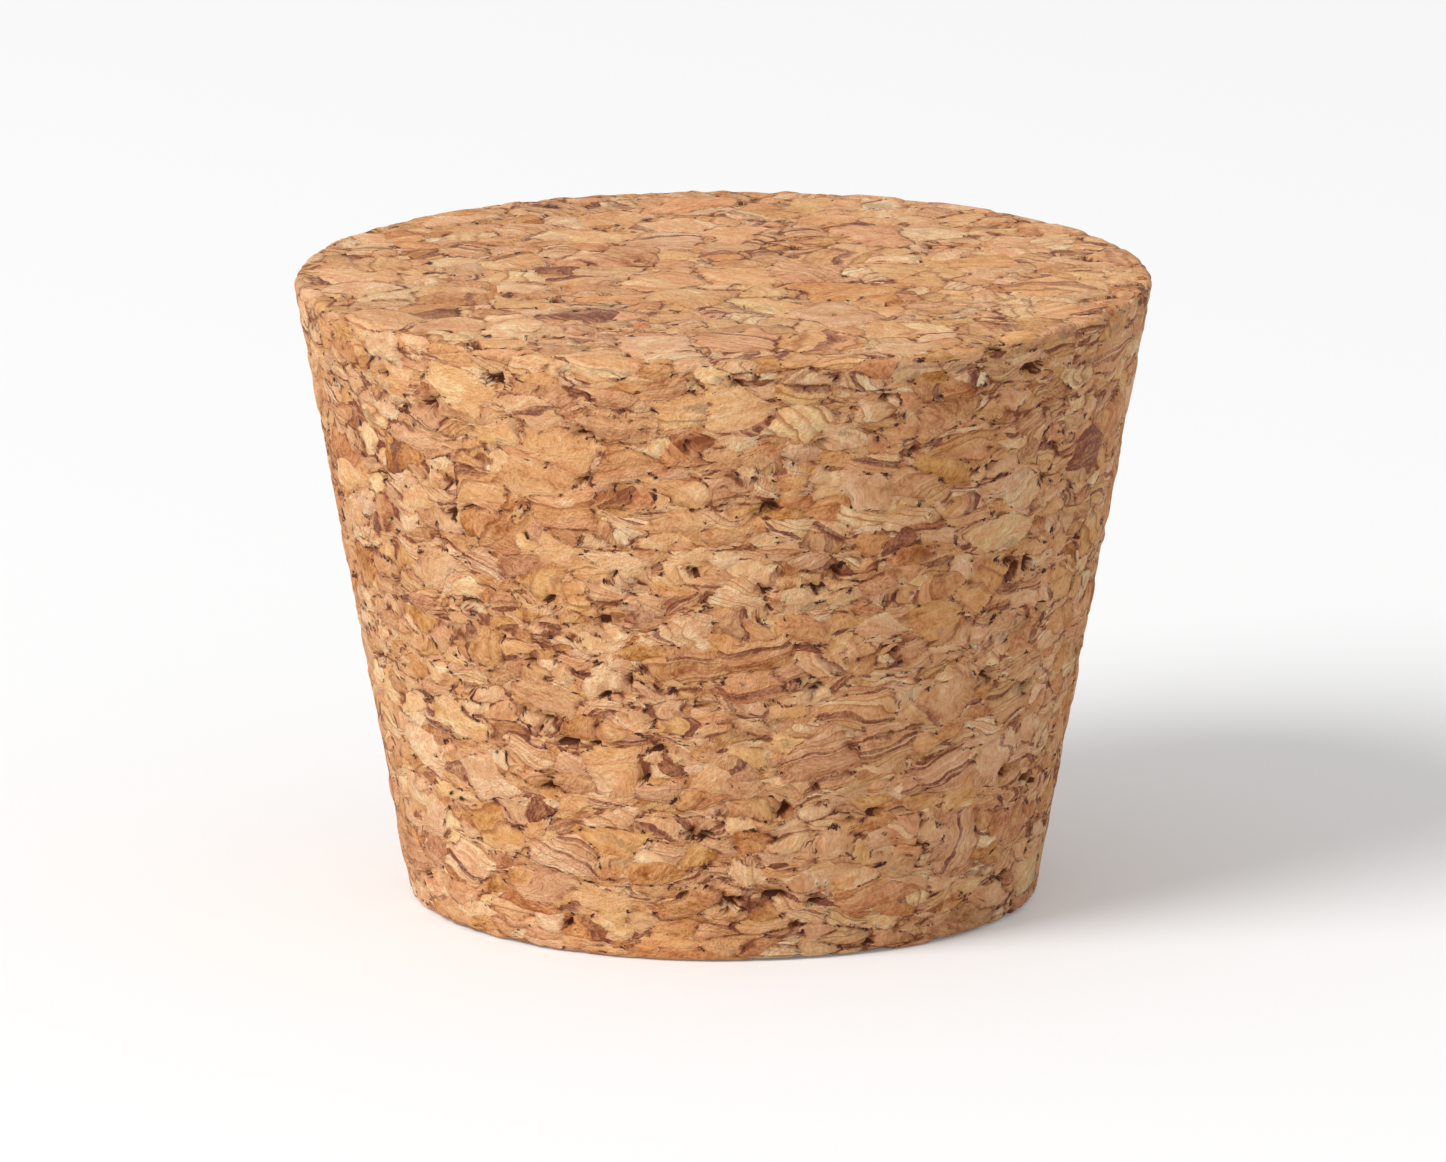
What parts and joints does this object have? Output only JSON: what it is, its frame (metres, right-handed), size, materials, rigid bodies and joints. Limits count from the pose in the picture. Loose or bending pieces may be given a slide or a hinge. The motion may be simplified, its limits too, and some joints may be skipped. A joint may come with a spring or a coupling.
{
  "type": "cork stopper",
  "caption": "Round tapered stopper of pressed cork granules with flat ends, eased rims and small open voids between the granules; wedges into a round neck or hole and stands on its small end.",
  "frame": {"origin": "centre of the small end face, which the stopper stands on", "axes": "+Z along the stopper's axis, from the small end up to the large end; X and Y are alike, because the stopper is round"},
  "size_m": [0.0408, 0.0408, 0.03],
  "materials": {
    "cork": "matte"
  },
  "bodies": {
    "root": {"stopper": "cork"}
  },
  "joints": []
}
